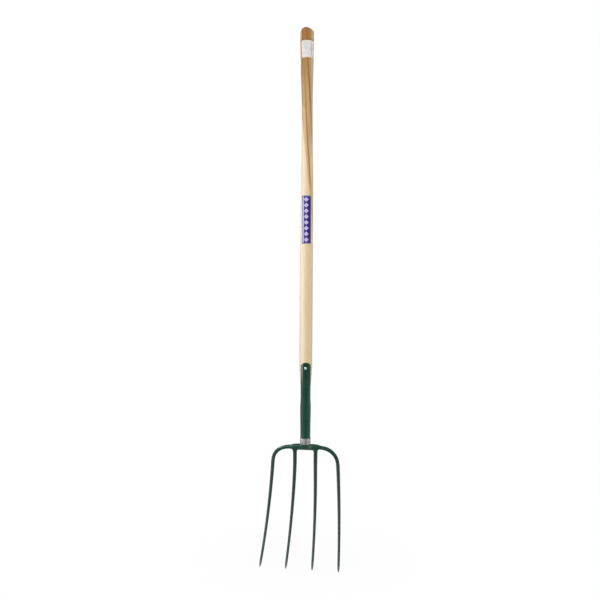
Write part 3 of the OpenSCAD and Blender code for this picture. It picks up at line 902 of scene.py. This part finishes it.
# Partly print and partly painted reflection: a pale band down the left side
off_sheen_band = off(tree, calc(tree, "MULTIPLY", across_share, purple_w), sheen_band_in)
printed_sheen_band = fade(tree, off_sheen_band, sheen_band_w / 2, sheen_band_w / 2 + print_blur, 0.75, 0.0)
past_margin = calc(tree, "MULTIPLY_ADD", up_share, purple_h, -margin)
row_share = calc(tree, "FRACT", calc(tree, "DIVIDE", past_margin, lozenge_pitch))
share_h = calc(tree, "MULTIPLY", off(tree, row_share, 0.5), lozenge_pitch / lozenge_half_h)
share_w = calc(tree, "DIVIDE", from_side, lozenge_half_w)
lozenge = fade(tree, calc(tree, "ADD", share_h, share_w), 0.94, 1.0, 1.0, 0.0)
inside = fade(tree, end_gap, margin - margin_blur, margin)
print_mask = calc(tree, "MULTIPLY", calc(tree, "MAXIMUM", lozenge, printed_sheen_band), inside)
print_mask = calc(tree, "MAXIMUM", border, print_mask)
ink = noise(tree, place, (80, 80, 60), detail=3.0)
colour = blend(tree, fade(tree, ink, 0.35, 0.7), indigo, indigo_deep)
colour = blend(tree, print_mask, colour, lilac)
waves = noise(tree, place, (130, 130, 50))
gloss = calc(tree, "MULTIPLY_ADD", ink, 0.15, 0.32)
shader.inputs["Specular IOR Level"].default_value = 0.15
finish_with(tree, shader, colour, gloss, waves, film_depth)

bm = wrapped_label(purple_w, purple_low.z, purple_high.z, purple_turn, purple_lean, purple_cells)
purple_label = add_object("shank_label", bm, purple, math.pi)
give_thickness(purple_label)
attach(purple_label, "root")
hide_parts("purple_label")

# Floor and surroundings
# A pale floor just under the points, which takes a soft shadow near the fork and runs out into white.
# The surroundings are white to the eye and in reflections, and lend the fork an even, plain light.
floor_z = tip_z - 1.2 * MM
floor_half = 8.0
floor_cells = 8
floor_white = (0.9, 0.9, 0.9, 1.0)
clear_white = (1.0, 1.0, 1.0, 1.0)
shadow_share = 0.35
shadow_fade = (0.25, 0.9)
ambient = 0.46


def seen_directly(tree):
    """1 for rays from the eye, from reflections and through glass, and 0 for light that only spreads."""
    path = add_node(tree, "LightPath", {})
    seen = calc(tree, "MAXIMUM", path.outputs["Is Camera Ray"], path.outputs["Is Glossy Ray"])
    return calc(tree, "MAXIMUM", seen, path.outputs["Is Transmission Ray"])


def bare_finish(name):
    """A material without a shader, its node tree and the socket that its surface goes to."""
    material = bpy.data.materials.new(name)
    material.use_nodes = True
    tree = material.node_tree
    tree.nodes.remove(tree.nodes["Principled BSDF"])
    return material, tree, tree.nodes["Material Output"].inputs["Surface"]


floor_paint, tree, surface = bare_finish("pale_floor")
place = add_node(tree, "TexCoord", {}).outputs["Object"]
from_fork = add_node(tree, "VectorMath", {0: place}, operation="LENGTH").outputs["Value"]
clear = fade(tree, from_fork, *shadow_fade, 1 - shadow_share, 1.0)
clear = calc(tree, "MULTIPLY", seen_directly(tree), clear)
chalk = add_node(tree, "BsdfDiffuse", {"Color": floor_white}).outputs[0]
white = add_node(tree, "Emission", {"Color": clear_white, "Strength": 1.0}).outputs[0]
tree.links.new(add_node(tree, "MixShader", {0: clear, 1: chalk, 2: white}).outputs[0], surface)

bm = bmesh.new()
bmesh.ops.create_grid(bm, x_segments=floor_cells, y_segments=floor_cells, size=floor_half)
bmesh.ops.translate(bm, verts=bm.verts, vec=(0, 0, floor_z))
floor = add_object("floor", bm, floor_paint)

world = bpy.data.worlds.new("studio")
world.use_nodes = True
bpy.context.scene.world = world
tree = world.node_tree
sky = tree.nodes["Background"]
sky.inputs["Color"].default_value = clear_white
level = add_node(tree, "MapRange", {"Value": seen_directly(tree), "To Min": ambient, "To Max": 1.0})
tree.links.new(level.outputs[0], sky.inputs["Strength"])

# Lights
# A soft box in front, above the eye and a little to the left, which models the round shaft and tines.
# A weak one on the right, a little behind, lifts the far side. Two on the left only make gleams, and a dark
# card in front of the head, which only reflections see, keeps the enamel deep green.
card_away = 0.5
card_size = (0.6, 1.03)
card_middle = (0.2, -0.235)
card_grey = (0.2, 0.2, 0.2, 1.0)


def soft_box(name, place, aim, size, watts):
    """A rectangular lamp at a place, turned towards a point."""
    lamp = bpy.data.lights.new(name, "AREA")
    lamp.shape = "RECTANGLE"
    lamp.size, lamp.size_y = size
    lamp.energy = watts
    box = bpy.data.objects.new(name, lamp)
    box.location = place
    box.rotation_euler = (Vector(aim) - Vector(place)).to_track_quat("-Z", "Y").to_euler()
    bpy.context.scene.collection.objects.link(box)
    return box


soft_box("key_box", place=(-0.42, -1.95, 1.0), aim=(0, 0, 0), size=(1.2, 1.2), watts=28)
soft_box("fill_box", place=(1.93, 0.52, 0.1), aim=(0, 0, 0), size=(1.2, 1.7), watts=7)
strip = soft_box("strip_box", place=(-1.81, -0.84, -0.3), aim=(0, 0, -0.3), size=(0.6, 0.85), watts=9)
glint = soft_box("glint_box", place=(-0.65, -0.15, 0.27), aim=(0, 0, -0.43), size=(0.45, 0.3), watts=18)

card_paint, tree, surface = bare_finish("grey_card")
grey = add_node(tree, "Emission", {"Color": card_grey, "Strength": 1.0}).outputs[0]
tree.links.new(grey, surface)
bm = bmesh.new()
bmesh.ops.create_grid(bm, x_segments=2, y_segments=2, size=0.5)
bmesh.ops.scale(bm, verts=bm.verts, vec=(*card_size, 1))
bmesh.ops.rotate(bm, verts=bm.verts, cent=(0, 0, 0), matrix=Matrix.Rotation(math.pi / 2, 3, "X"))
bmesh.ops.translate(bm, verts=bm.verts, vec=(card_middle[0], -card_away, card_middle[1]))
card = add_object("card", bm, card_paint)
card.visible_shadow = False
for unseen in (strip, glint, card):
    unseen.visible_camera = False
    unseen.visible_diffuse = False

# Camera
# Level with the middle of the shaft, about two metres away and a little to the right of the head's front.
# It leans by a third of a degree, and the fork stands a little right of the picture's middle.
view_turn = math.radians(9.2)
view_distance = 2.033
view_height = 1.2 * MM
view_roll = math.radians(0.35)
aim_left = 18 * MM
sensor_w = 36
focal_share = 694 / 600

camera_data = bpy.data.cameras.new("camera")
camera_data.sensor_width = sensor_w
camera_data.lens = sensor_w * focal_share
camera = bpy.data.objects.new("camera", camera_data)
bpy.context.scene.collection.objects.link(camera)
level_up = Vector((0, 0, view_height))
eye = Vector((math.sin(view_turn), -math.cos(view_turn), 0)) * view_distance + level_up
aim = Vector((-math.cos(view_turn), -math.sin(view_turn), 0)) * aim_left + level_up
roll = Matrix.Rotation(view_roll, 3, "Z").to_quaternion()
camera.location = eye
camera.rotation_mode = "QUATERNION"
camera.rotation_quaternion = (aim - eye).to_track_quat("-Z", "Y") @ roll
bpy.context.scene.camera = camera
bpy.context.scene.view_settings.view_transform = "Standard"
